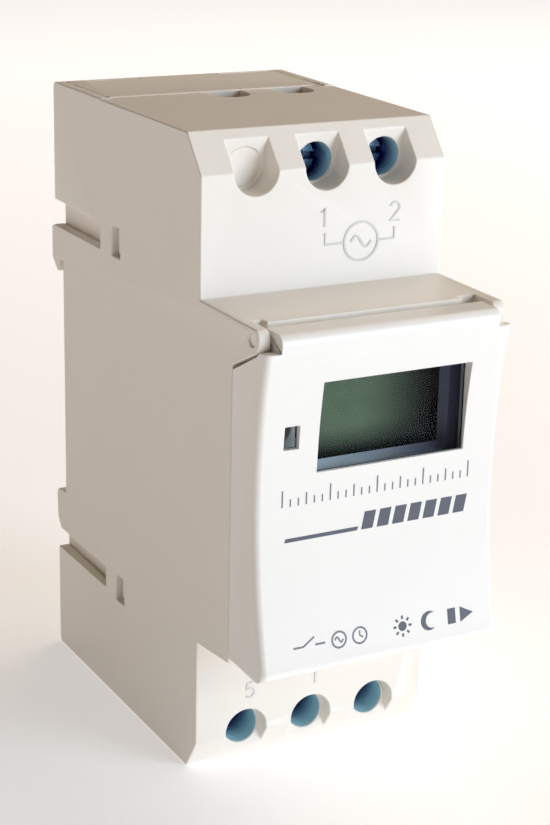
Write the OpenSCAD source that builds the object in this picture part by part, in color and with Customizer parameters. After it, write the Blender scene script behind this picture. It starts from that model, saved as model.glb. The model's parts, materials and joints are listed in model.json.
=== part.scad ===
// Two-module digital time switch that clips onto a 35 mm top-hat rail.
// X runs across the front, -Y is the front, +Z is up. The origin is the middle of the face that
// lies against the rail, so the rail's lips are at Y 0 to 1 and Z -17.5 to 17.5.

/* [Case] */
// Height of the case
case_h = 86; // [86:0.5:88]
// Width of the case at the shoulders
front_w = 35; // [35:0.1:35.6]
// Width of the case at its back edge, wider for the mould's draft
rear_w = 36; // [36:0.1:36.6]
// Distance from the rail to the shoulders
shoulder_d = 44; // [44:0.1:44.4]
// Thickness of the case walls
wall = 1.6; // [1.5:0.1:1.7]
// Y of the seam between the front housing and the rear base
seam_y = -13; // [-13.2:0.1:-12.8]

/* [Nose and cover] */
// Z of the top of the nose, which stands through a panel's 45 mm slot
nose_top = 22.67; // [22.6:0.01:22.75]
// Y of the seam between the nose and the cover's flanges
flange_y = -52.8; // [-53:0.1:-52.6]
// Y of the cover's front at its hollow middle
cover_y = -59.3; // [-59.5:0.1:-59.2]
// Radius of the cover's hollow front
cover_r = 90; // [85:1:100]
// Thickness of the cover
cover_t = 1.4; // [1.3:0.1:1.5]
// Y of the hinge pin
pin_y = -57.7; // [-57.8:0.05:-57.6]
// Z of the hinge pin
pin_z = 21.2; // [21.15:0.05:21.25]
// Radius of the hinge pin
pin_r = 0.8; // [0.7:0.05:0.8]

/* [Display and keys] */
// Y of the key panel's front
panel_y = -56; // [-56.1:0.1:-55.9]
// Width of a key
key_w = 5.2; // [4.8:0.1:5.4]
// Height of a key
key_h = 3.6; // [3.2:0.1:3.8]
// Distance between keys across a row
key_pitch = 7; // [6.9:0.1:7]
// How far the keys stand out of the panel
key_proud = 1; // [0.8:0.1:1]

/* [Terminals] */
// Distance between terminals
term_pitch = 9.95; // [9.9:0.05:10]
// Height of a terminal screw above or below the middle
term_z = 38.1; // [38:0.1:38.2]
// Radius of the pocket around a screw
pocket_r = 3.05; // [2.9:0.05:3.1]
// Radius of the screwdriver hole
well_r = 2.55; // [2.5:0.05:2.6]
// Radius of a screw's head
head_r = 2.2; // [2.1:0.05:2.25]
// Radius of a screw's thread
thread_r = 1.75; // [1.5:0.05:1.75]
// Radius of the round end of a wire entry
entry_r = 2.65; // [2.6:0.05:2.7]

/* [Rail clip] */
// Width of the rail
rail_w = 35; // [35]
// Half width of the sliding clip
clip_half = 5; // [4.8:0.1:5.2]
// Width of each thin slot near the back of the top
slot_w = 8.4; // [8:0.1:8.6]

/* [Hidden] */

$fn = 48;
half_h = case_h / 2;
top_step = 0.1;
draft = (rear_w - front_w) / 2 / (shoulder_d + 3);
rail_edge = rail_w / 2 + 0.15;

// Terminal positions: two live ones above, three below; the place above on the left is blank.
term_x0 = 0.1;
TERMS = [[0, 1], [1, 1], [-1, -1], [0, -1], [1, -1]];
blank = [-1, 1];
head_front = -36.6;
head_back = -34;
lip_back = -32.6;
bar_front = -19;
bar_t = 1;
clamp_back = -12.6;
clamp_t = 1.4;
nut_front = -26.6;
nut_back = -24.2;
clamp_in = 2.75;
clamp_wall = 0.75;
entry_dx = 0.6;

// Window of the cover, and the part of the display that shows through it.
win = [-8.9, 3.9, 12.2, 15.7];
view = [-7.6, 4, 10.8, 14.6];
glass = [-9.5, 3, 12.7, 16];
lamp = [-13.7, 7.4, -11.65, 10.45];
lamp_c = [-12.7, 8.9];

board_y = -50.6;
board_t = 1.6;
glass_y = -55;
glass_t = 2.2;
panel_t = 1.2;
power_y = -25.6;
KEY_ROWS = [-5, -13];
mat_top = -52.7;
inner_w = 15.75;
panel_w = 15.55;

// Front edge of the nose's top, which the open cover's top edge just clears, and its reliefs.
plate_y = -56;
relief_y = -54.8;

function term_x(t) = term_x0 + t[0] * term_pitch;
function half_w(y) = front_w / 2 + draft * (y + shoulder_d);
function ring(cy, cz, r, a0, a1, n) = [for (i = [0:n]) let (a = a0 + (a1 - a0) * i / n)
    [cy + r * cos(a), cz + r * sin(a)]];
function cover_front(z, t) = cover_y - cover_r + sqrt(pow(cover_r + t, 2) - pow(z - 0.8, 2));
function cover_arc(t, z0, z1, n) = [for (i = [0:n]) let (z = z0 + (z1 - z0) * i / n)
    [cover_front(z, t), z]];

// Extrudes a Y-Z outline from x0 to x1.
module along_x(x0, x1) {
    translate([x0, 0, 0]) rotate([90, 0, 90]) linear_extrude(x1 - x0) children();
}
// Extrudes an X-Z outline from y0 to y1.
module along_y(y0, y1) {
    translate([0, y1, 0]) rotate([90, 0, 0]) linear_extrude(y1 - y0) children();
}
// A box from its lowest to its highest corner.
module box(a, b) {
    translate(a) cube(b - a);
}
module rounded(w, h, r) {
    square([w, h - 2 * r], center = true);
    square([w - 2 * r, h], center = true);
    for (sx = [-1, 1], sz = [-1, 1]) translate([sx * (w / 2 - r), sz * (h / 2 - r)]) circle(r);
}
// A round bar along Y.
module rod_y(x, z, r, y0, y1) {
    translate([x, y0, z]) rotate([-90, 0, 0]) cylinder(r = r, h = y1 - y0);
}
// A round bar along X.
module rod_x(y, z, r, x0, x1) {
    translate([x0, y, z]) rotate([0, 90, 0]) cylinder(r = r, h = x1 - x0);
}
// The tapered space between the two side faces, moved in by inset.
module envelope(inset) {
    y0 = -70;
    y1 = 10;
    translate([0, 0, -60]) linear_extrude(120) polygon([
        [-half_w(y0) + inset, y0], [half_w(y0) - inset, y0],
        [half_w(y1) - inset, y1], [-half_w(y1) + inset, y1]]);
}

// The back edge of the case, from the bottom to the top, with the seat at seat_y.
function back_edge(seat_y) = concat(
    ring(2, -half_h + 0.8, 0.8, -90, 0, 4),
    [[2.8, -24.4], [2, -23.9], [3.1, -22.4]],
    ring(2.1, -18.9, 1.1, 0, 70, 4),
    [[1.2, -rail_edge], [seat_y, -rail_edge], [seat_y, rail_edge], [1.45, rail_edge], [1.45, 15.9],
     [2, 15.85], [3.8, 17.6], [3.8, 22.1], [2.6, 22.6]],
    ring(1.8, half_h - 0.8, 0.8, 0, 90, 4));

// The nose, its hinge lugs and both shoulders, seen from the side.
function case_edge() = concat(
    [[seam_y, -half_h], [-41.2, -half_h], [-shoulder_d, -38.6], [-shoulder_d, -23.7],
     [flange_y, -22.8], [flange_y, 16.8]],
    ring(pin_y, pin_z, 1.8, 240, 125.2, 8),
    [[-shoulder_d, nose_top], [-shoulder_d, 38.1], [-40, half_h - top_step], [seam_y, half_h - top_step]]);

// Round-ended outline of a screw pocket, open towards the end of the case.
module pocket_outline(t, r) {
    translate([term_x(t), t[1] * term_z]) circle(r);
    translate([term_x(t) - r, t[1] > 0 ? term_z : -term_z - 10]) square([2 * r, 10]);
}
// A pocket with a floor that rises towards the end of the case.
module pocket(t, r, sink) {
    floor_y = (t[1] > 0 ? -40.4 : -41.9) + sink;
    intersection() {
        along_y(-50, -30) pocket_outline(t, r);
        translate([term_x(t), floor_y, t[1] * term_z]) rotate([t[1] > 0 ? 8 : -10, 0, 0])
            translate([-10, -20, -20]) cube([20, 20, 40]);
    }
}
// The same sloping recess, but round.
module round_pocket(t, r, sink) {
    intersection() {
        rod_y(term_x(t), t[1] * term_z, r, -50, -30);
        translate([term_x(t), -40.4 + sink, t[1] * term_z]) rotate([8, 0, 0])
            translate([-10, -20, -20]) cube([20, 20, 40]);
    }
}
module wire_entry(t) {
    x = term_x(t) + entry_dx;
    z0 = t[1] > 0 ? half_h - 3 : -half_h - 1;
    translate([x, seam_y - 2.5, z0]) cylinder(r = entry_r, h = 4);
    box([x - entry_r, seam_y - 2.5, z0], [x + entry_r, seam_y + 1, z0 + 4]);
}

module front_housing() color("linen") difference() {
    union() {
        difference() {
            intersection() {
                envelope(0);
                along_x(-20, 20) polygon(case_edge());
            }
            intersection() {
                envelope(wall);
                along_x(-20, 20) polygon([[seam_y + 1, wall - half_h], [-40.2, wall - half_h],
                    [-42.2, -38.2], [-42.2, 37.9], [-39.3, half_h - 1.7], [seam_y + 1, half_h - 1.7]]);
            }
            box([-inner_w, -62, -20.7], [inner_w, -42, 20.9]);
        }
        // Side walls run on to the back.
        for (s = [-1, 1]) intersection() {
            difference() {
                envelope(0);
                envelope(wall - 0.1);
            }
            along_x(min(0, 20 * s), max(0, 20 * s)) polygon(concat([[seam_y - 1, -half_h]],
                back_edge(-0.15), [[seam_y - 1, half_h]]));
        }
        // Screw wells, and the blank place.
        for (t = concat(TERMS, [blank])) intersection() {
            envelope(0.5);
            along_x(-20, 20) polygon(case_edge());
            union() {
                along_y(-43, -38.6) pocket_outline(t, pocket_r + 1.2);
                rod_y(term_x(t), t[1] * term_z, well_r + 1, -43, t == blank ? -38.6 : lip_back);
            }
        }
        // Partitions between terminals, and between the terminals and the boards.
        for (s = [-1, 1]) intersection() {
            along_x(-20, 20) polygon(case_edge());
            union() {
                for (x = [-0.5, 0.5]) box([term_x0 + x * term_pitch - 0.6, -42.5, s > 0 ? 30.4 : -42],
                    [term_x0 + x * term_pitch + 0.6, -20, s > 0 ? 42 : -30.4]);
                box([-16.2, -42.5, s * 30.9 - 0.5], [16.2, -20, s * 30.9 + 0.5]);
            }
        }
    }
    for (t = TERMS) {
        pocket(t, pocket_r, 0);
        rod_y(term_x(t), t[1] * term_z, well_r, -50, -33.4);
        rod_y(term_x(t), t[1] * term_z, thread_r + 0.3, -34, -30);
        wire_entry(t);
    }
    pocket(blank, pocket_r, 0);
    round_pocket(blank, well_r, 0.3);
    // Front edge of the nose's top, and reliefs beside the lugs. The right one is wider.
    box([-inner_w, -62, 20], [inner_w, plate_y, 24]);
    box([-inner_w, -62, 20], [-14.45, relief_y, 24]);
    box([13.2, -62, 20], [inner_w, relief_y, 24]);
    rod_x(pin_y, pin_z, pin_r + 0.05, -20, 20);
    // Slots and snap windows in both side walls.
    for (s = [-1, 1]) {
        x0 = s > 0 ? 15.8 : -20;
        box([x0, -13.4, 22.5], [x0 + 4.2, 6, 26.2]);
        box([x0, -14.6, -27.2], [x0 + 4.2, 6, -24.1]);
        box([x0, -20, 22.4], [x0 + 4.2, -17.2, 26.5]);
        box([x0, -21, -27.7], [x0 + 4.2, -18.2, -23.8]);
    }
}

module rear_base() color("antiquewhite") difference() {
    union() {
        difference() {
            intersection() {
                envelope(wall);
                along_x(-20, 20) polygon(concat([[seam_y + 0.05, -half_h]], back_edge(0),
                    [[seam_y + 0.05, half_h]]));
            }
            // Hollow behind each deck.
            box([-15, -20, 19.4], [15, 1, half_h - wall]);
            box([-15, -20, wall - half_h], [15, 1.2, -23]);
            box([-15, -20, -24], [15, -1.8, 24]);
        }
        // Snap arms on both sides, and ribs between the terminals.
        for (s = [-1, 1], z = [[22.6, 26.1], [-27.1, -24.2]]) intersection() {
            difference() {
                envelope(wall);
                envelope(wall + 1.3);
            }
            box([s > 0 ? 0 : -20, -22, z[0] - 0.6], [s > 0 ? 20 : 0, -12, z[1] + 0.6]);
        }
        for (s = [-1, 1]) {
            intersection() {
                envelope(0.7);
                union() {
                    box([s > 0 ? 14 : -20, -19.6, 22.7], [s > 0 ? 20 : -14, -18, 26.1]);
                    box([s > 0 ? 14 : -20, -20.6, -27.3], [s > 0 ? 20 : -14, -19, -24.2]);
                }
            }
            for (x = [-0.5, 0.5]) box([term_x0 + x * term_pitch - 0.6, -12, s > 0 ? 20 : -42],
                [term_x0 + x * term_pitch + 0.6, 1.5, s > 0 ? 42 : -28]);
        }
        // Floor and sides of the clip's channel.
        box([-7.6, -2.6, -42], [7.6, 1.5, -16.5]);
    }
    // Reliefs that leave the seat clear of the hook and the clip.
    box([-20, -0.3, 15.2], [20, 0.5, rail_edge]);
    box([-20, -0.3, -rail_edge], [20, 0.5, -15.5]);
    // The clip's channel.
    difference() {
        union() {
            box([-clip_half - 1.2, -1, -50], [clip_half + 1.2, 0.6, -16]);
            box([-clip_half - 0.3, -1, -50], [clip_half + 0.3, 6, -16]);
        }
        box([-1.5, -2, -36.8], [1.5, 1.8, -35.1]);
    }
    // Two thin slots near the back of the top deck.
    for (x = [-13.6, 7.4]) box([x, 0.7, half_h - 0.8], [x + slot_w, 1.5, half_h + 1]);
}

// Places of the keys in the panel: column from -1.5 to 1.5, and row.
function key_at(column, row) = [column * key_pitch, KEY_ROWS[row]];
KEYS = [key_at(-1.5, 0), key_at(-0.5, 0), key_at(0.5, 0), key_at(1.5, 0),
    key_at(-1.5, 1), key_at(-0.5, 1), key_at(0.5, 1)];
RESET = key_at(1.5, 1);

module key_panel() color("whitesmoke") difference() {
    union() {
        box([-panel_w, panel_y, -20.5], [panel_w, panel_y + panel_t, 20.75]);
        difference() {
            box([-panel_w, panel_y, -20.5], [panel_w, -51.4, 20.75]);
            box([1 - panel_w, -60, -19.5], [panel_w - 1, -50, 19.75]);
        }
    }
    box([-10.4, -60, 2], [13.6, -50, 17]);
    for (k = KEYS) along_y(-60, -50) translate(k) rounded(key_w + 0.6, key_h + 0.6, 1.1);
    rod_y(RESET[0], RESET[1], 1.3, -60, -50);
    rod_y(lamp_c[0], lamp_c[1], 1.7, -60, -50);
}

module lcd_frame() color("slategray") difference() {
    box([-10.3, panel_y, 2.1], [13.5, -50.7, 16.9]);
    box([glass[0] - 0.05, glass_y, glass[1] - 0.05], [glass[2] + 0.05, -50, glass[3] + 0.05]);
    box([view[0], -60, view[1]], [view[2], -50, view[3]]);
    hull() {
        box([view[0], glass_y - 0.05, view[1]], [view[2], glass_y, view[3]]);
        box([view[0] - 0.9, panel_y - 0.05, view[1] - 0.9], [view[2] + 0.9, panel_y, view[3] + 0.9]);
    }
}

module lcd_glass() color("darkolivegreen")
    box([glass[0], glass_y, glass[1]], [glass[2], glass_y + glass_t, glass[3]]);

module contact_strips() color("dimgray") for (z = [glass[1] + 0.2, glass[3] - 1.6])
    box([glass[0] + 1, glass_y + glass_t, z], [glass[2] - 1, board_y, z + 1.4]);

module display_board() color("seagreen")
    box([-15.2, board_y, -20], [15.2, board_y + board_t, 19.5]);

module key_mat() color("dimgray") {
    box([-14.3, board_y - 0.8, -18.6], [14.3, board_y, 0.6]);
    for (k = concat(KEYS, [RESET])) rod_y(k[0], k[1], 1.8, mat_top, board_y - 0.7);
}

module indicator_led() color("crimson") {
    rod_y(lamp_c[0], lamp_c[1], 1.5, -54, board_y);
    translate([lamp_c[0], -54, lamp_c[1]]) sphere(1.5);
}

module microcontroller() color("black")
    box([-6, board_y + board_t, -15], [6, board_y + board_t + 1.8, -3]);

module clock_crystal() color("silver")
    translate([10, board_y + board_t + 1.5, 0]) cylinder(r = 1.5, h = 8);

module board_link() color("khaki") {
    box([-7, board_y + board_t, 15], [7, board_y + board_t + 3, 17.5]);
    box([-7, power_y - 3, 15], [7, power_y, 17.5]);
    for (i = [0:7]) box([-5.9 + i * 1.6, board_y + board_t + 2.5, 16], [-5.3 + i * 1.6, power_y - 2.5, 16.6]);
}

module power_board() color("darkgreen") difference() {
    box([-15.4, power_y, -29.8], [15.4, power_y + board_t, 29.8]);
    for (t = TERMS) box([term_x(t) - 1.6, power_y - 1, t[1] * 28 - 0.55],
        [term_x(t) + 1.6, power_y + board_t + 1, t[1] * 28 + 0.55]);
}

module relay() color("dodgerblue") box([-14.8, power_y - 15.7, -25.8], [-2.1, power_y, 3.2]);

module relay_coil_diode() color("black") rod_x(power_y - 1.3, 5.4, 1.2, -13, -8);

module dropper_capacitor() color("gold") box([4, power_y - 14, -24.5], [14, power_y, -6.5]);

module smoothing_capacitor() color("midnightblue") rod_y(-9.5, 11.5, 4, power_y - 12, power_y);

module bridge_rectifier() color("black") box([-13.5, power_y - 3.4, 19], [-5, power_y, 25.5]);

module surge_varistor() color("royalblue") rod_y(3.5, 23.6, 3.8, power_y - 5, power_y - 1);

module inrush_resistor() color("tan") rod_x(power_y - 2, 10.6, 1.6, -1, 10);

module backup_battery() color("forestgreen") rod_y(8, 1, 5.4, power_y - 6.4, power_y - 1);

module battery_clip() color("goldenrod") {
    box([6.2, power_y - 1, -2], [9.8, power_y, 4]);
    box([6.2, power_y - 7, -5.6], [9.8, power_y - 6.4, 7.2]);
    box([6.2, power_y - 7, 6.6], [9.8, power_y, 7.2]);
}

// A flat bar through each clamp, bent forward into the power board.
module terminal_bars() color("peru") for (t = TERMS) {
    s = t[1];
    box([term_x(t) - 2.4, bar_front, min(s * 27.5, s * 40.4)],
        [term_x(t) + 2.4, bar_front + bar_t, max(s * 27.5, s * 40.4)]);
    box([term_x(t) - 1.5, power_y - 1.2, s * 28 - 0.5], [term_x(t) + 1.5, bar_front + bar_t, s * 28 + 0.5]);
}

module hinged_cover() color("white") difference() {
    union() {
        difference() {
            intersection() {
                envelope(0);
                along_x(-20, 20) polygon(concat([[flange_y - 0.15, -21.9], [flange_y - 0.15, 16.3]],
                    ring(pin_y, pin_z, 2.1, -116, -147, 3), [[-60.4, 20.2]],
                    cover_arc(0, 20.2, -20.6, 24),
                    ring(cover_front(-20.6, 0) + 1.6, -20.6, 1.6, 180, 270, 5)));
            }
            // Hollow for the key panel.
            intersection() {
                box([-inner_w - 0.2, -70, -21], [inner_w + 0.2, -50, 30]);
                along_x(-20, 20) polygon(concat([[-50, -30], [-50, 30]], cover_arc(cover_t, 30, -30, 40)));
            }
        }
        // Top edge and hinge barrel, between the lugs.
        rod_x(pin_y, pin_z, 1.25, -15.3, 15.3);
        along_x(-15.3, 15.3) polygon(concat([[pin_y, pin_z + 1.2], [pin_y, 19.6], [-58.6, 18]],
            cover_arc(0, 18, 21, 3), ring(cover_front(21, 0) + 1.2, 21.2, 1.2, 180, 90, 5)));
        // Frame around the lenses.
        box([-15, -59, 1.7], [14.5, -57.7, 18.1]);
        rod_x(pin_y, pin_z, pin_r, -17.1, 17.1);
    }
    box([win[0], -70, win[1]], [win[2], -50, win[3]]);
    box([win[0] - 1.3, -58.5, win[1] - 1.3], [win[2] + 1.3, -50, win[3] + 1.3]);
    box([lamp[0], -70, lamp[1]], [lamp[2], -50, lamp[3]]);
    box([lamp[0] - 0.7, -58.5, lamp[1] - 0.8], [lamp[2] + 0.55, -50, lamp[3] + 0.8]);
}

module window_lens() color("lightcyan", 0.4) {
    box([win[0] - 1.25, -58.5, win[1] - 1.25], [win[2] + 1.25, -57.75, win[3] + 1.25]);
    box([win[0] + 0.05, -59.1, win[1] + 0.05], [win[2] - 0.05, -58.4, win[3] - 0.05]);
}

module indicator_lens() color("lightcyan", 0.4) {
    box([lamp[0] - 0.65, -58.5, lamp[1] - 0.75], [lamp[2] + 0.5, -57.75, lamp[3] + 0.75]);
    box([lamp[0] + 0.05, -59.1, lamp[1] + 0.05], [lamp[2] - 0.05, -58.4, lamp[3] - 0.05]);
}

// A key: its cap stands through the panel, and its flange and stem sit behind.
module key(k) color("gainsboro") {
    along_y(panel_y - key_proud, panel_y + panel_t + 0.2) translate(k) rounded(key_w, key_h, 0.8);
    along_y(panel_y + panel_t + 0.1, panel_y + panel_t + 0.9) translate(k)
        rounded(key_w + 1.4, key_h + 1.4, 0.8);
    rod_y(k[0], k[1], 1.2, panel_y + panel_t + 0.8, mat_top - 0.7);
}
module clock_key() key(KEYS[0]);
module program_key() key(KEYS[1]);
module mode_key() key(KEYS[2]);
module clear_key() key(KEYS[3]);
module day_key() key(KEYS[4]);
module hour_key() key(KEYS[5]);
module minute_key() key(KEYS[6]);
module reset_pin() color("gainsboro") {
    rod_y(RESET[0], RESET[1], 1, panel_y + 0.5, mat_top - 0.7);
    rod_y(RESET[0], RESET[1], 2, panel_y + panel_t + 0.1, panel_y + panel_t + 0.9);
}

module rail_clip() color("gray") difference() {
    union() {
        box([-clip_half, -0.7, -42.5], [clip_half, 2.4, -17.9]);
        box([-clip_half - 0.9, -0.7, -42.5], [clip_half + 0.9, 0.3, -17.9]);
        along_x(-clip_half, clip_half) polygon([[1.15, -18.2], [1.15, -16.2], [1.9, -16.2], [3, -17.6],
            [3, -18.8], [2.4, -19.6], [1.15, -19.6]]);
    }
    box([-1.9, -2, -37], [1.9, 6, -24]);
    box([-2.6, -2, -41.2], [2.6, 6, -39.4]);
}

module clip_spring() color("silver") translate([0, 0.8, -35.05]) difference() {
    cylinder(r = 1.4, h = 11);
    translate([0, 0, -1]) cylinder(r = 1, h = 13);
}

module screw(t) color("lightsteelblue") difference() {
    union() {
        rod_y(term_x(t), t[1] * term_z, head_r, head_front, head_back);
        rod_y(term_x(t), t[1] * term_z, thread_r, head_back - 0.5, bar_front - 0.05);
    }
    // Cross slot, with its long arm right across the head.
    for (arm = [[3, 0.4], [0.4, 1.5]]) box(
        [term_x(t) - arm[0], head_front - 1, t[1] * term_z - arm[1]],
        [term_x(t) + arm[0], head_front + 1.1, t[1] * term_z + arm[1]]);
}
module screw_1() screw(TERMS[0]);
module screw_2() screw(TERMS[1]);
module screw_3() screw(TERMS[2]);
module screw_4() screw(TERMS[3]);
module screw_5() screw(TERMS[4]);

// A rising clamp: a square loop around the bar, with the screw's thread in its front.
module clamp(t) color("lightsteelblue") difference() {
    x = term_x(t);
    z0 = t[1] > 0 ? term_z - 3.3 : -term_z - 2.9;
    half = clamp_in + clamp_wall;
    box([x - half, nut_front, z0], [x + half, clamp_back + clamp_t, z0 + 6.2]);
    box([x - clamp_in, nut_back, z0 - 1], [x + clamp_in, clamp_back, z0 + 8]);
    rod_y(x, t[1] * term_z, thread_r + 0.05, nut_front - 1, nut_back + 1);
}
module clamp_1() clamp(TERMS[0]);
module clamp_2() clamp(TERMS[1]);
module clamp_3() clamp(TERMS[2]);
module clamp_4() clamp(TERMS[3]);
module clamp_5() clamp(TERMS[4]);

front_housing();
rear_base();
key_panel();
lcd_frame();
lcd_glass();
contact_strips();
display_board();
key_mat();
indicator_led();
microcontroller();
clock_crystal();
board_link();
power_board();
relay();
relay_coil_diode();
dropper_capacitor();
smoothing_capacitor();
bridge_rectifier();
surge_varistor();
inrush_resistor();
backup_battery();
battery_clip();
terminal_bars();
hinged_cover();
window_lens();
indicator_lens();
clock_key();
program_key();
mode_key();
clear_key();
day_key();
hour_key();
minute_key();
reset_pin();
rail_clip();
clip_spring();
screw_1();
screw_2();
screw_3();
screw_4();
screw_5();
clamp_1();
clamp_2();
clamp_3();
clamp_4();
clamp_5();
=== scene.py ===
import json
import math

import bmesh
import bpy
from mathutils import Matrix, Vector
from mathutils.bvhtree import BVHTree


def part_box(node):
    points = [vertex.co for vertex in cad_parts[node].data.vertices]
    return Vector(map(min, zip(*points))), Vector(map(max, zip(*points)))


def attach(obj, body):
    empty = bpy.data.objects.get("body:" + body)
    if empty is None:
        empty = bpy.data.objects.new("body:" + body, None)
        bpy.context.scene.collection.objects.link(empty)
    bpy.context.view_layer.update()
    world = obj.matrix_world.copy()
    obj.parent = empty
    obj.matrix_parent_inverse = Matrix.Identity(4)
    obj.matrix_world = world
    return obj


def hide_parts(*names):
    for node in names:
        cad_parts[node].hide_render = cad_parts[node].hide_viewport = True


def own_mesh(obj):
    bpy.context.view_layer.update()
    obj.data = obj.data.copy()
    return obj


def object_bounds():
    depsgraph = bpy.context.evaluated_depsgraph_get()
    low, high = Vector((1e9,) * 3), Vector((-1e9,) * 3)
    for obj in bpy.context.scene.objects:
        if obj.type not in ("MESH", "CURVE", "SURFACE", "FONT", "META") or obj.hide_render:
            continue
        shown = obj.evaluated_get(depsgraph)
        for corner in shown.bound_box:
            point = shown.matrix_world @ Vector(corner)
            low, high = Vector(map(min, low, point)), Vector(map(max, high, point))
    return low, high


# Looks of a two-module digital time switch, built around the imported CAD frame.
# Metres. +Z up, the front faces -Y, and the origin is the middle of the face against the rail.

MM = 0.001
UP = Vector((0, 0, 1))
SIDEWAYS = Vector((1, 0, 0))
WELD = 0.001 * MM
COPLANAR = math.radians(0.6)
SHARP = math.radians(30)

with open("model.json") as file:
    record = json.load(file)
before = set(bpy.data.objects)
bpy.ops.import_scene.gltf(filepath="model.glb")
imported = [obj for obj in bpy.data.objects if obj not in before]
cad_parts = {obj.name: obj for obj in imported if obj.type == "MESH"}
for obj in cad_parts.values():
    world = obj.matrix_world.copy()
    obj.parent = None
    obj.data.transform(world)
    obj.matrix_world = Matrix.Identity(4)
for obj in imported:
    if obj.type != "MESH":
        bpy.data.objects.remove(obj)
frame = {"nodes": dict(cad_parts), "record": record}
cad_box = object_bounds()
nodes = frame["nodes"]
record = frame["record"]
body_of = {node: body for body, members in record["behaviour"]["bodies"].items() for node in members}
slot_of = {part["node"]: part["material_slot"] for part in record["subparts"]}


# ---------------------------------------------------------------- camera, light and floor

def add(name, data):
    """A new object in the scene."""
    made = bpy.data.objects.new(name, data)
    bpy.context.scene.collection.objects.link(made)
    return made


def make_camera():
    lens = bpy.data.cameras.new("camera")
    lens.lens = 83.36
    lens.sensor_width = 36
    lens.clip_start = 0.01
    camera = add("camera", lens)
    camera.location = (-0.117408, -0.248825, 0.083912)
    camera.rotation_euler = [math.radians(a) for a in (71.6375, -1.2723, -27.9907)]
    bpy.context.scene.camera = camera


def area_light(name, place, aim, size, power, colour):
    lamp = bpy.data.lights.new(name, "AREA")
    lamp.shape = "RECTANGLE"
    lamp.size = size[0]
    lamp.size_y = size[1]
    lamp.energy = power
    lamp.color = colour
    light = add(name, lamp)
    light.location = place
    light.rotation_euler = (Vector(aim) - Vector(place)).to_track_quat("-Z", "Y").to_euler()


def make_lights():
    world = bpy.data.worlds.new("studio")
    world.use_nodes = True
    tree = world.node_tree
    sky = tree.nodes["Background"]
    place = tree.nodes.new("ShaderNodeTexCoord")
    split = tree.nodes.new("ShaderNodeSeparateXYZ")
    height = tree.nodes.new("ShaderNodeMapRange")
    height.inputs["From Min"].default_value = 0
    height.inputs["From Max"].default_value = 0.8
    tree.links.new(place.outputs["Generated"], split.inputs["Vector"])
    tree.links.new(split.outputs["Z"], height.inputs["Value"])
    colour = blend_colours(tree, height.outputs["Result"], [1, 0.98, 0.96, 1], [0.62, 0.47, 0.34, 1])
    tree.links.new(colour, sky.inputs["Color"])
    sky.inputs["Strength"].default_value = 0.21
    bpy.context.scene.world = world
    area_light("key", (0.5, -0.75, 0.2), (0, -0.03, 0), (0.5, 0.5), 5.35, (0.87, 0.97, 1.1))
    area_light("warm_fill", (-0.8, -0.1, 0.15), (0, -0.02, 0), (0.6, 0.6), 0.27, (1, 0.58, 0.3))
    area_light("top_right", (0.5, 0.1, 0.6), (0, 0, 0.04), (0.8, 0.8), 3.2, (1, 0.82, 0.64))


def light_up_far_floor(tree):
    """A white glow that grows with the distance from the object, as a lit backdrop would give."""
    place = tree.nodes.new("ShaderNodeTexCoord")
    distance = tree.nodes.new("ShaderNodeVectorMath")
    distance.operation = "LENGTH"
    strength = tree.nodes.new("ShaderNodeMapRange")
    strength.inputs["From Min"].default_value = 0.06
    strength.inputs["From Max"].default_value = 0.6
    strength.inputs["To Min"].default_value = 0.4
    strength.inputs["To Max"].default_value = 0.68
    tree.links.new(place.outputs["Object"], distance.inputs[0])
    tree.links.new(distance.outputs["Value"], strength.inputs["Value"])
    shader = tree.nodes["Principled BSDF"]
    shader.inputs["Emission Color"].default_value = (1, 1, 1, 1)
    tree.links.new(strength.outputs["Result"], shader.inputs["Emission Strength"])


def make_floor():
    mesh = bmesh.new()
    bmesh.ops.create_grid(mesh, x_segments=8, y_segments=8, size=14)
    data = bpy.data.meshes.new("floor")
    mesh.to_mesh(data)
    mesh.free()
    floor = add("floor", data)
    floor.location.z = cad_box[0].z
    paint = plastic("floor_paint", (240, 240, 240), rough=0.9, spread=0.004, grain=0.004)
    light_up_far_floor(paint.node_tree)
    data.materials.append(paint)


# ---------------------------------------------------------------- materials

def linear(srgb):
    """A colour given as 0-255 screen values, as a linear colour."""
    parts = [v / 255 for v in srgb]
    return [v / 12.92 if v <= 0.04045 else ((v + 0.055) / 1.055) ** 2.4 for v in parts] + [1]


def shaded(name):
    """A new material, its node tree and its shader."""
    made = bpy.data.materials.new(name)
    made.use_nodes = True
    return made, made.node_tree, made.node_tree.nodes["Principled BSDF"]


def pattern(tree, kind, size, detail=3, stretch=(1, 1, 1)):
    """A pattern over the object's own coordinates, whose cells are about size across."""
    place = tree.nodes.new("ShaderNodeTexCoord")
    scale = tree.nodes.new("ShaderNodeMapping")
    scale.inputs["Scale"].default_value = [s / size for s in stretch]
    made = tree.nodes.new(kind)
    made.inputs["Scale"].default_value = 1
    made.inputs["Detail"].default_value = detail
    tree.links.new(place.outputs["Object"], scale.inputs["Vector"])
    tree.links.new(scale.outputs["Vector"], made.inputs["Vector"])
    return made.outputs["Fac"]


def between(tree, factor, low, high):
    """Factor 0-1 taken to low-high."""
    made = tree.nodes.new("ShaderNodeMapRange")
    made.inputs["From Min"].default_value = 0.3
    made.inputs["From Max"].default_value = 0.7
    made.inputs["To Min"].default_value = low
    made.inputs["To Max"].default_value = high
    tree.links.new(factor, made.inputs["Value"])
    return made.outputs["Result"]


def blend_colours(tree, factor, first, second):
    made = tree.nodes.new("ShaderNodeMix")
    made.data_type = "RGBA"
    tree.links.new(factor, made.inputs["Factor"])
    for socket, colour in (("A", first), ("B", second)):
        target = next(s for s in made.inputs if s.name == socket and s.type == "RGBA")
        if isinstance(colour, list):
            target.default_value = colour
        else:
            tree.links.new(colour, target)
    return next(s for s in made.outputs if s.type == "RGBA")


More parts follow.
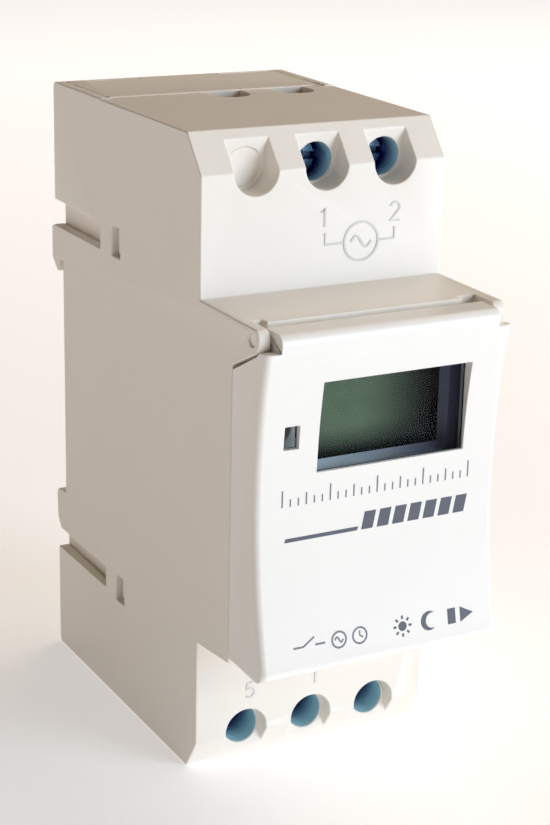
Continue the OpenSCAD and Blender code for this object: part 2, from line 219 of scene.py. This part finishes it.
def along(tree, axis, start, end):
    """0-1 between two places on one axis of the object's own coordinates, eased at both ends."""
    place = tree.nodes.new("ShaderNodeTexCoord")
    split = tree.nodes.new("ShaderNodeSeparateXYZ")
    made = tree.nodes.new("ShaderNodeMapRange")
    made.interpolation_type = "SMOOTHSTEP"
    made.inputs["From Min"].default_value = start
    made.inputs["From Max"].default_value = end
    tree.links.new(place.outputs["Object"], split.inputs["Vector"])
    tree.links.new(split.outputs[axis], made.inputs["Value"])
    return made.outputs["Result"]


def bump(tree, shader, height, strength, depth):
    made = tree.nodes.new("ShaderNodeBump")
    made.inputs["Strength"].default_value = strength
    made.inputs["Distance"].default_value = depth
    tree.links.new(height, made.inputs["Height"])
    tree.links.new(made.outputs["Normal"], shader.inputs["Normal"])


def edge_wear_and_highlight(tree, colour, edge):
    """The colour, taken to edge where the surface is convex: a painted highlight where the edges catch the
    light, with light edge wear.
    """
    geometry = tree.nodes.new("ShaderNodeNewGeometry")
    ramp = tree.nodes.new("ShaderNodeMapRange")
    ramp.inputs["From Min"].default_value = 0.53
    ramp.inputs["From Max"].default_value = 0.62
    tree.links.new(geometry.outputs["Pointiness"], ramp.inputs["Value"])
    return blend_colours(tree, ramp.outputs["Result"], colour, edge)


def plastic(name, srgb, rough=0.42, spread=0.02, grain=0.22 * MM, depth=0.012 * MM, edge=None, coat=0):
    """Moulded plastic: faint cloudiness, uneven gloss and a fine spark-eroded texture."""
    made, tree, shader = shaded(name)
    base = linear(srgb)
    cloud = pattern(tree, "ShaderNodeTexNoise", 9 * MM)
    darker = [v * (1 - spread) for v in base[:3]] + [1]
    lighter = [min(1, v * (1 + spread)) for v in base[:3]] + [1]
    colour = blend_colours(tree, cloud, darker, lighter)
    # Convex edges take the lighter edge colour: painted highlight, with light edge wear.
    if edge:
        colour = edge_wear_and_highlight(tree, colour, linear(edge))
    tree.links.new(colour, shader.inputs["Base Color"])
    gloss = pattern(tree, "ShaderNodeTexNoise", 1.6 * MM)
    tree.links.new(between(tree, gloss, rough - 0.05, rough + 0.05), shader.inputs["Roughness"])
    shader.inputs["Coat Weight"].default_value = coat
    shader.inputs["Coat Roughness"].default_value = 0.15
    bump(tree, shader, pattern(tree, "ShaderNodeTexNoise", grain, 2), 0.25, depth)
    return made


def metal(name, srgb, rough=0.3, tint=None, grain=0.5 * MM, stretch=(1, 1, 1)):
    """Plated or drawn metal: patches of a second tint, and fine marks drawn out along one direction."""
    made, tree, shader = shaded(name)
    patches = pattern(tree, "ShaderNodeTexNoise", 1.3 * MM, 4)
    factor = between(tree, patches, 0, 1)
    colour = blend_colours(tree, factor, linear(srgb), linear(tint or srgb))
    tree.links.new(colour, shader.inputs["Base Color"])
    shader.inputs["Metallic"].default_value = 1
    marks = pattern(tree, "ShaderNodeTexNoise", grain, 4, stretch)
    tree.links.new(between(tree, marks, rough - 0.08, rough + 0.12), shader.inputs["Roughness"])
    bump(tree, shader, marks, 0.2, 0.01 * MM)
    return made


def rubber(name, srgb):
    return plastic(name, srgb, rough=0.7, spread=0.05, grain=0.12 * MM)


def clear_plastic(name):
    """Clear moulded plastic with a very slight haze. Its low index keeps the pale room off the display."""
    made, tree, shader = shaded(name)
    haze = pattern(tree, "ShaderNodeTexNoise", 2 * MM)
    tree.links.new(between(tree, haze, 0.02, 0.05), shader.inputs["Roughness"])
    tint = blend_colours(tree, haze, linear((232, 240, 244)), linear((240, 246, 248)))
    tree.links.new(tint, shader.inputs["Base Color"])
    shader.inputs["Transmission Weight"].default_value = 1
    shader.inputs["IOR"].default_value = 1.12
    return made


def display_glass(name, low, high):
    """The display's olive polariser, with painted shade and a painted reflection of the dark window walls
    that take it almost black towards the right and the bottom.
    """
    made, tree, shader = shaded(name)
    width, height = high.x - low.x, high.z - low.z
    dark = linear((4, 6, 14))
    cloud = pattern(tree, "ShaderNodeTexNoise", 3 * MM)
    green = blend_colours(tree, cloud, linear((98, 114, 90)), linear((114, 130, 104)))
    # Painted shade and painted reflection: the olive goes almost black towards the right, and blue-black
    # towards the bottom.
    across = along(tree, "X", low.x + 0.35 * width, high.x - 0.12 * width)
    down = along(tree, "Z", low.z + 0.4 * height, low.z + 0.05 * height)
    colour = blend_colours(tree, down, blend_colours(tree, across, green, dark), linear((14, 20, 28)))
    tree.links.new(colour, shader.inputs["Base Color"])
    gloss = pattern(tree, "ShaderNodeTexNoise", 1.1 * MM)
    tree.links.new(between(tree, gloss, 0.12, 0.2), shader.inputs["Roughness"])
    shader.inputs["Specular IOR Level"].default_value = 0.1
    return made


def painted_light_gradient_plastic(name, axis, ends, colours, rough):
    """Moulded plastic whose colour goes from one to the other between two places on an axis; used for
    painted shade on the display frame, and painted reflection and shade in the screw wells.
    """
    made = plastic(name, colours[0], rough=rough)
    tree = made.node_tree
    base = tree.nodes["Principled BSDF"].inputs["Base Color"]
    first = base.links[0].from_socket
    tree.links.new(blend_colours(tree, along(tree, axis, *ends), first, linear(colours[1])), base)
    return made


def solder_mask(name):
    """Green board: the copper under the mask shows as slightly lighter, raised tracks."""
    made, tree, shader = shaded(name)
    place = tree.nodes.new("ShaderNodeTexCoord")
    scale = tree.nodes.new("ShaderNodeMapping")
    scale.inputs["Scale"].default_value = [1 / (2.4 * MM)] * 3
    cells = tree.nodes.new("ShaderNodeTexVoronoi")
    cells.distance = "MANHATTAN"
    cells.feature = "F1"
    cells.inputs["Scale"].default_value = 1
    tree.links.new(place.outputs["Object"], scale.inputs["Vector"])
    tree.links.new(scale.outputs["Vector"], cells.inputs["Vector"])
    tracks = tree.nodes.new("ShaderNodeMapRange")
    tracks.inputs["From Min"].default_value = 0.42
    tracks.inputs["From Max"].default_value = 0.46
    tree.links.new(cells.outputs["Distance"], tracks.inputs["Value"])
    colour = blend_colours(tree, tracks.outputs["Result"], linear((24, 92, 52)), linear((18, 66, 40)))
    tree.links.new(colour, shader.inputs["Base Color"])
    shader.inputs["Roughness"].default_value = 0.3
    shader.inputs["Coat Weight"].default_value = 0.4
    bump(tree, shader, tracks.outputs["Result"], 0.4, 0.03 * MM)
    return made


low_glass, high_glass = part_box("lcd_glass")
# The edge colours below are painted highlights on convex edges, with light edge wear.
materials = {
    "case_cream": plastic("case_cream", (238, 233, 224), rough=0.45, edge=(248, 245, 238)),
    "base_cream": plastic("base_cream", (234, 228, 217), rough=0.48, edge=(246, 242, 233)),
    "cover_white": plastic(
        "cover_white", (242, 240, 235), rough=0.36, depth=0.006 * MM, edge=(250, 249, 246)
    ),
    "panel_grey": plastic("panel_grey", (226, 226, 221)),
    "key_grey": plastic("key_grey", (176, 181, 186), rough=0.5, edge=(190, 194, 198)),
    "clear_lens": clear_plastic("clear_lens"),
    "lcd": display_glass("lcd", low_glass, high_glass),
    # The display frame goes from pale to dark blue towards the right: painted shade of its deep wall.
    "lcd_frame": painted_light_gradient_plastic(
        "lcd_frame", "X", (low_glass.x, high_glass.x + 1 * MM), [(232, 242, 250), (70, 72, 100)], 0.38
    ),
    "rubber_dark": rubber("rubber_dark", (46, 46, 48)),
    "rubber_mat": rubber("rubber_mat", (150, 152, 152)),
    "board_green": solder_mask("board_green"),
    "epoxy_black": plastic("epoxy_black", (34, 34, 37), rough=0.5),
    "led_red": plastic("led_red", (96, 26, 30), rough=0.3, coat=0.5),
    "tinned": metal("tinned", (210, 210, 208), rough=0.25),
    "link_cream": plastic("link_cream", (222, 213, 184)),
    "relay_blue": plastic("relay_blue", (38, 92, 158), rough=0.35, coat=0.2),
    "film_yellow": plastic("film_yellow", (228, 190, 62), rough=0.3, coat=0.3),
    "sleeve_dark": plastic("sleeve_dark", (26, 34, 70), rough=0.3, coat=0.4),
    "varistor_blue": plastic("varistor_blue", (30, 84, 160), rough=0.3, coat=0.4),
    "resistor_tan": plastic("resistor_tan", (206, 186, 148), rough=0.45),
    "battery_green": plastic("battery_green", (46, 128, 76), rough=0.3, coat=0.4),
    "brass": metal("brass", (214, 176, 96), rough=0.3, tint=(196, 152, 80)),
    "copper_bar": metal("copper_bar", (206, 160, 118), rough=0.32, tint=(214, 196, 176)),
    "zinc_blue": metal("zinc_blue", (176, 212, 240), rough=0.26, tint=(134, 180, 228)),
    "zinc": metal("zinc", (196, 206, 214), rough=0.3, tint=(170, 190, 200)),
    "spring_steel": metal("spring_steel", (196, 196, 198), rough=0.22),
    "clip_grey": plastic("clip_grey", (112, 114, 116), rough=0.5, spread=0.05),
}
print_grey = plastic("print_grey", (118, 120, 130), rough=0.5, spread=0.04, depth=0)
print_dark = plastic("print_dark", (84, 88, 102), rough=0.5, spread=0.04, depth=0)
# The raised case marks are greyer than the case: painted shade along their relief.
relief_painted_shade = plastic("relief_painted_shade", (216, 216, 213), rough=0.5)


# ---------------------------------------------------------------- pieces

def finish_piece(name, mesh, body, slot, replaces=(), material=None):
    """Turns a bmesh into a piece that rides on a body."""
    bmesh.ops.recalc_face_normals(mesh, faces=mesh.faces)
    data = bpy.data.meshes.new(name)
    mesh.to_mesh(data)
    mesh.free()
    data.materials.append(material or materials[slot])
    for face in data.polygons:
        face.use_smooth = True
    data.set_sharp_from_angle(angle=SHARP)
    made = add(name, data)
    normals = made.modifiers.new("normals", "WEIGHTED_NORMAL")
    normals.keep_sharp = True
    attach(made, body)
    if replaces:
        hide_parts(*replaces)
    return made


def clean_copy(node):
    """A CAD node's mesh, welded, with its coplanar triangles joined."""
    mesh = bmesh.new()
    mesh.from_mesh(nodes[node].data)
    bmesh.ops.remove_doubles(mesh, verts=mesh.verts, dist=WELD)
    bmesh.ops.dissolve_limit(
        mesh, angle_limit=COPLANAR, use_dissolve_boundaries=False, verts=mesh.verts, edges=mesh.edges
    )
    return mesh


def scatter(count):
    """Directions spread evenly over a sphere."""
    made = []
    for i in range(count):
        z = 1 - (2 * i + 1) / count
        turn = i * math.pi * (3 - math.sqrt(5))
        flat = math.sqrt(1 - z * z)
        made.append(Vector((flat * math.cos(turn), flat * math.sin(turn), z)))
    return made


def tree_of(names):
    """A search tree over the faces of some CAD nodes."""
    points, faces = [], []
    for name in names:
        start = len(points)
        points += [v.co.copy() for v in nodes[name].data.vertices]
        faces += [[start + i for i in face.vertices] for face in nodes[name].data.polygons]
    return BVHTree.FromPolygons(points, faces)


def seen_from_outside(edge):
    """Whether light can reach the edge from outside, when every piece is in place."""
    outward = sum((f.normal for f in edge.link_faces), Vector()).normalized()
    start = (edge.verts[0].co + edge.verts[1].co) / 2 + outward * 0.05 * MM
    ways = [way for way in LOOK_WAYS if way.dot(outward) > 0.05]
    return sum(1 for way in ways if whole.ray_cast(start, way)[0] is None) > 2


LOOK_WAYS = scatter(60)
whole = tree_of(nodes)


def round_edges(mesh, width, segments=2, where=None):
    """Rounds the sharp edges, or those of them that where picks."""
    mesh.normal_update()
    sharp = [e for e in mesh.edges if e.is_manifold and e.calc_face_angle() > SHARP]
    if where:
        sharp = [e for e in sharp if where(e)]
    bmesh.ops.bevel(
        mesh, geom=sharp, offset=width, offset_type="OFFSET", segments=segments, profile=0.5,
        affect="EDGES", clamp_overlap=False, loop_slide=True,
    )


def rounded(node, width, segments=2, where=None):
    """A piece that stands for a CAD node, with its edges rounded."""
    mesh = clean_copy(node)
    round_edges(mesh, width, segments, where)
    return finish_piece(node + "_piece", mesh, body_of[node], slot_of[node], [node])


def lathe(mesh, x, z, profile, count=32, thread=None):
    """Adds a solid turned about a line along Y, from a profile of (radius, y).

    A thread is (pitch, depth).
    """
    rings = []
    for radius, y in profile:
        ring = []
        for i in range(count):
            share = i / count
            cut = 0
            if thread:
                phase = (y / thread[0] - share) % 1
                cut = thread[1] * abs(2 * phase - 1)
            turn = share * math.tau
            reach = radius - cut
            ring.append(mesh.verts.new((x + reach * math.cos(turn), y, z + reach * math.sin(turn))))
        rings.append(ring)
    for lower, upper in zip(rings, rings[1:]):
        for i in range(count):
            j = (i + 1) % count
            mesh.faces.new((lower[i], lower[j], upper[j], upper[i]))
    mesh.faces.new(rings[0])
    mesh.faces.new(rings[-1][::-1])


def sweep(mesh, path, radius, count=8):
    """Adds a round wire along a path of points."""
    rings = []
    for i, point in enumerate(path):
        after = path[min(i + 1, len(path) - 1)]
        before = path[max(i - 1, 0)]
        along = (after - before).normalized()
        side = along.cross(UP if abs(along.z) < 0.9 else SIDEWAYS).normalized()
        rise = side.cross(along)
        ring = []
        for k in range(count):
            turn = math.tau * k / count
            out = side * math.cos(turn) + rise * math.sin(turn)
            ring.append(mesh.verts.new(point + out * radius))
        rings.append(ring)
    for lower, upper in zip(rings, rings[1:]):
        for i in range(count):
            j = (i + 1) % count
            mesh.faces.new((lower[i], lower[j], upper[j], upper[i]))
    mesh.faces.new(rings[0])
    mesh.faces.new(rings[-1][::-1])


# ---------------------------------------------------------------- raised and printed marks

class Marks:
    """Lines and patches that lie on the front of some CAD nodes. Their points are (x, z) in millimetres."""

    def __init__(self, names, proud):
        self.skin = tree_of(names)
        self.proud = proud
        self.sink = 0.05 * MM
        self.mesh = bmesh.new()

    def corner(self, x, z):
        """The front and back vertices over a point of the surface."""
        hit = self.skin.ray_cast(Vector((x * MM, -1, z * MM)), Vector((0, 1, 0)))[0]
        front = self.mesh.verts.new((x * MM, hit.y - self.proud, z * MM))
        back = self.mesh.verts.new((x * MM, hit.y + self.sink, z * MM))
        return front, back

    def line(self, points, width, closed=False):
        count = len(points)
        rows = []
        for i, (x, z) in enumerate(points):
            before = points[i - 1] if closed or i else points[i]
            after = points[(i + 1) % count] if closed or i < count - 1 else points[i]
            way = (Vector(after) - Vector(before)).normalized() * width / 2
            rows.append((*self.corner(x - way.y, z + way.x), *self.corner(x + way.y, z - way.x)))
        pairs = list(zip(rows, rows[1:] + rows[:1])) if closed else list(zip(rows, rows[1:]))
        for (a, b, c, d), (e, f, g, h) in pairs:
            for face in ((a, c, g, e), (b, f, h, d), (a, e, f, b), (c, d, h, g)):
                self.mesh.faces.new(face)
        if not closed:
            self.mesh.faces.new((rows[0][0], rows[0][1], rows[0][3], rows[0][2]))
            self.mesh.faces.new((rows[-1][0], rows[-1][2], rows[-1][3], rows[-1][1]))

    def patch(self, outline):
        corners = [self.corner(x, z) for x, z in outline]
        self.mesh.faces.new([c[0] for c in corners])
        self.mesh.faces.new([c[1] for c in reversed(corners)])
        for (a, b), (c, d) in zip(corners, corners[1:] + corners[:1]):
            self.mesh.faces.new((a, b, d, c))

    def circle(self, x, z, radius, width, count=32):
        self.line(arc(x, z, radius, 0, 360 - 360 / count, count - 1), width, closed=True)

    def disc(self, x, z, radius, count=24):
        self.patch(arc(x, z, radius, 0, 360 - 360 / count, count - 1))


def arc(x, z, radius, start, end, steps):
    """Points of an arc, with its angles in degrees anticlockwise from +X."""
    angles = [math.radians(start + (end - start) * i / steps) for i in range(steps + 1)]
    return [(x + radius * math.cos(a), z + radius * math.sin(a)) for a in angles]


def wave(x, z, half_length, height):
    """Points of one period of a sine, rising on the left of its middle."""
    return [(x + half_length * t / 8, z - height * math.sin(math.pi * t / 8)) for t in range(-8, 9)]


# Strokes of the numerals at the terminals, in a box one unit high.
NUMERALS = {
    "1": [[(0.05, 0.78), (0.3, 1), (0.3, 0)]],
    "2": [arc(0.3, 0.72, 0.28, 165, -35, 10) + [(0, 0), (0.6, 0)]],
    "5": [[(0.55, 1), (0.1, 1), (0.06, 0.55)] + arc(0.27, 0.32, 0.31, 120, -140, 12)],
}


def numeral(marks, digit, x, z, height, width):
    for points in NUMERALS[digit]:
        marks.line([(x + (px - 0.3) * height, z + pz * height) for px, pz in points], width)


# ---------------------------------------------------------------- case

def make_cover():
    """The hinged cover, with its upright front corners rounded more than the rest."""
    mesh = clean_copy("hinged_cover")
    low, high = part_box("hinged_cover")
    corner_radius = 0.9 * MM

    def upright_corner(edge):
        first, second = (v.co for v in edge.verts)
        middle = (first + second) / 2
        rises = abs((second - first).normalized().z) > 0.8
        return rises and abs(middle.x) > 17.1 * MM and middle.y < low.y + 3 * MM

    round_edges(mesh, corner_radius, 5, upright_corner)
    round_edges(mesh, 0.12 * MM, 2, seen_from_outside)
    return finish_piece("hinged_cover_piece", mesh, "cover", "cover_white", ["hinged_cover"])


def paint_well_reflection_and_shade(shell):
    """Paints the screwdriver wells' walls with painted reflection and shade: pale teal near the mouth, the
    colour that the plated screws throw back, going to painted navy shade deeper in.
    """
    shell.data.materials.append(well_reflection_and_shade)
    wells = [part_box(f"screw_{n}") for n in range(1, 6)]
    centres = [((low.x + high.x) / 2, (low.z + high.z) / 2) for low, high in wells]
    for face in shell.data.polygons:
        x, y, z = face.center
        for cx, cz in centres:
            near = math.hypot(x - cx, z - cz) < WELL_RADIUS
            if near and y > shoulder.y + 2 * MM and abs(face.normal.y) < 0.5:
                face.material_index = 1


def mark_case():
    """Raised terminal numbers and the supply's circuit on both shoulders."""
    marks = Marks(["front_housing"], 0.1 * MM)
    line = 0.3
    numeral(marks, "1", -0.1, 30.4, 2.4, line)
    numeral(marks, "2", 10.2, 30.4, 2.4, line)
    marks.line([(0, 29.6), (0, 28.1), (2.75, 28.1)], line)
    marks.line([(7.85, 28.1), (10.2, 28.1), (10.2, 29.6)], line)
    marks.circle(5.3, 28.1, 2.5, line)
    marks.line(wave(5.3, 28.1, 1.5, 0.75), line)
    numeral(marks, "5", -9.4, -33.3, 2.2, line)
    marks.line([(0.6, -33.3), (0.6, -27)], line)
    # The raised marks take a greyer colour: painted shade along their relief.
    finish_piece("circuit_marks", marks.mesh, "case", "case_cream", material=relief_painted_shade)


def mark_cover():
    """Generic print on the cover: an hour scale, a rule, seven day blocks and small day and night signs."""
    marks = Marks(["hinged_cover"], 0.015 * MM)
    scale_left, scale_right, scale_z = -13.6, 13.2, 0
    for hour in range(25):
        x = scale_left + (scale_right - scale_left) * hour / 24
        height = 2.2 if hour % 6 == 0 else 1.6 if hour % 3 == 0 else 1.0
        marks.line([(x, scale_z), (x, scale_z + height)], 0.2)
    sign_z = -18.1
    marks.line([(-12.6, sign_z), (-11.2, sign_z), (-9.6, sign_z + 1)], 0.25)
    marks.line([(-9.5, sign_z), (-8.1, sign_z)], 0.25)
    marks.circle(-6.1, sign_z, 1, 0.25)
    marks.line(wave(-6.1, sign_z, 0.6, 0.35), 0.22)
    marks.circle(-3.1, sign_z, 1, 0.25)
    marks.line([(-3.1, sign_z + 0.6), (-3.1, sign_z), (-2.65, sign_z - 0.3)], 0.22)
    finish_piece("cover_scale_print", marks.mesh, "cover", "cover_white", material=print_grey)

    bold = Marks(["hinged_cover"], 0.015 * MM)
    bold.patch([(-13.3, -4.6), (-3, -4.6), (-2.8, -4.1), (-13.1, -4.1)])
    day_width, day_step, lean = 1.65, 2.25, 0.5
    for day in range(7):
        x = -2.4 + day * day_step
        bold.patch([(x, -4.6), (x + day_width, -4.6), (x + day_width + lean, -2.3), (x + lean, -2.3)])
    sun = (3.2, -18.1)
    bold.disc(*sun, 0.62)
    for i in range(8):
        turn = math.tau * i / 8
        near, far = 0.9, 1.35
        ray = [(sun[0] + r * math.cos(turn), sun[1] + r * math.sin(turn)) for r in (near, far)]
        bold.line(ray, 0.3)
    outer = arc(7.2, -18.1, 1.25, 49.5, 310.5, 18)
    inner = arc(7.7, -18.1, 1, 288.2, 71.8, 14)
    bold.patch(outer + inner)
    bold.patch([(10, -19.1), (11.2, -19.1), (11.2, -17.1), (10, -17.1)])
    bold.patch([(11.9, -19.1), (13.9, -18.1), (11.9, -17.1)])
    finish_piece("cover_bold_print", bold.mesh, "cover", "cover_white", material=print_dark)


def mark_keys():
    """A small sign on each key."""
    for node, draw in KEY_SIGNS.items():
        low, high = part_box(node)
        marks = Marks([node], 0.012 * MM)
        draw(marks, (low.x + high.x) / 2 / MM, (low.z + high.z) / 2 / MM)
        finish_piece(node + "_sign", marks.mesh, node, slot_of[node], material=print_dark)


def clock_sign(marks, x, z):
    marks.circle(x, z, 1.05, 0.2)
    marks.line([(x, z + 0.65), (x, z), (x + 0.5, z - 0.25)], 0.18)


def list_sign(marks, x, z):
    for i in (-1, 0, 1):
        marks.line([(x - 1.1, z + i * 0.7), (x + 1.1, z + i * 0.7)], 0.22)


def mode_sign(marks, x, z):
    marks.line([(x - 1.3, z), (x - 0.4, z), (x + 0.5, z + 0.65)], 0.22)
    marks.line([(x + 0.6, z), (x + 1.3, z)], 0.22)


def cross_sign(marks, x, z):
    marks.line([(x - 0.7, z - 0.7), (x + 0.7, z + 0.7)], 0.24)
    marks.line([(x - 0.7, z + 0.7), (x - 0.1, z + 0.1)], 0.24)
    marks.line([(x + 0.1, z - 0.1), (x + 0.7, z - 0.7)], 0.24)


def day_sign(marks, x, z):
    for i in range(-3, 4):
        marks.disc(x + i * 0.56, z, 0.19, 12)


def up_sign(size):
    def draw(marks, x, z):
        marks.patch([(x - size, z - size * 0.6), (x + size, z - size * 0.6), (x, z + size * 0.8)])
    return draw


KEY_SIGNS = {
    "clock_key": clock_sign, "program_key": list_sign, "mode_key": mode_sign, "clear_key": cross_sign,
    "day_key": day_sign, "hour_key": up_sign(1.0), "minute_key": up_sign(0.7),
}


# Rounding of the small parts' edges, in millimetres.
EDGE_WIDTHS = {
    "key_panel": 0.12, "lcd_frame": 0.12, "window_lens": 0.12, "indicator_lens": 0.12, "rail_clip": 0.12,
    "reset_pin": 0.15, "lcd_glass": 0.1, "contact_strips": 0.2, "key_mat": 0.25, "display_board": 0.12,
    "power_board": 0.12, "board_link": 0.1, "microcontroller": 0.15, "clock_crystal": 0.4, "relay": 0.5,
    "relay_coil_diode": 0.25, "dropper_capacitor": 0.8, "smoothing_capacitor": 0.6, "bridge_rectifier": 0.4,
    "surge_varistor": 1.3, "inrush_resistor": 0.5, "backup_battery": 0.5, "battery_clip": 0.1,
    "terminal_bars": 0.12,
}


# ---------------------------------------------------------------- metalwork

def make_screw(number):
    """A terminal screw: its slotted head from the frame, on a shank with a cut thread."""
    node = f"screw_{number}"
    low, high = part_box(node)
    x, z = (low.x + high.x) / 2, (low.z + high.z) / 2
    head_depth, pitch, thread_depth, thread_radius = 2.6 * MM, 0.6 * MM, 0.3 * MM, 1.75 * MM
    mesh = clean_copy(node)
    everything = mesh.verts[:] + mesh.edges[:] + mesh.faces[:]
    cut_y = low.y + head_depth + 0.05 * MM
    bmesh.ops.bisect_plane(
        mesh, geom=everything, plane_co=(0, cut_y, 0), plane_no=(0, 1, 0), clear_outer=True
    )
    rim = [e for e in mesh.edges if e.is_boundary]
    bmesh.ops.edgeloop_fill(mesh, edges=rim)
    round_edges(mesh, 0.16 * MM, 2)
    step = pitch / 6
    start = low.y + head_depth - 0.05 * MM
    count = int((high.y - start) / step)
    profile = [(thread_radius, start + i * step) for i in range(count)]
    tip = [(thread_radius - 0.35 * MM, high.y)]
    lathe(mesh, x, z, profile + tip, 32, (pitch, thread_depth))
    return finish_piece(node + "_piece", mesh, node, slot_of[node], [node])


def make_clip_spring():
    """A wound wire spring with closed ends, made at its rest length."""
    low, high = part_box("clip_spring")
    wire = 0.19 * MM
    coil = (high.x - low.x) / 2 - wire
    middle = (low + high) / 2
    turns, steps, closed = 9, 28, 1.2
    path = []
    for i in range(turns * steps + 1):
        turn = i / steps
        free = min(max(turn - closed, 0), turns - 2 * closed) / (turns - 2 * closed)
        ends = (min(turn, closed) + max(turn - turns + closed, 0)) * 2.1 * wire
        rise = ends + free * (high.z - low.z - 2 * wire - closed * 2 * 2.1 * wire)
        angle = math.tau * turn
        path.append(Vector((coil * math.cos(angle), middle.y + coil * math.sin(angle), low.z + wire + rise)))
    mesh = bmesh.new()
    sweep(mesh, path, wire)
    spring = finish_piece("clip_spring_piece", mesh, "case", "spring_steel", ["clip_spring"])
    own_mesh(spring)


shoulder = Vector((0, -44 * MM, 0))
WELL_RADIUS = 2.9 * MM
head_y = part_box("screw_1")[0].y
well_mouth = (shoulder.y + head_y) / 2
# Painted reflection and shade on the well walls: pale teal at the mouth, dark navy at the screw heads.
well_reflection_and_shade = painted_light_gradient_plastic(
    "well_reflection_and_shade", "Y", (well_mouth, head_y), [(170, 216, 230), (14, 30, 112)], 0.3
)

paint_well_reflection_and_shade(rounded("front_housing", 0.2 * MM, 3, seen_from_outside))
rounded("rear_base", 0.18 * MM, 3, seen_from_outside)
make_cover()
for part, width in EDGE_WIDTHS.items():
    rounded(part, width * MM, 3)
for part in KEY_SIGNS:
    rounded(part, 0.25 * MM, 3)
for number in range(1, 6):
    rounded(f"clamp_{number}", 0.15 * MM)
    make_screw(number)
make_clip_spring()
mark_case()
mark_cover()
mark_keys()

for node, item in nodes.items():
    if not item.hide_render:
        item.data.materials.clear()
        item.data.materials.append(materials[slot_of[node]])

make_camera()
make_floor()
make_lights()
bpy.context.scene.view_settings.view_transform = "Standard"
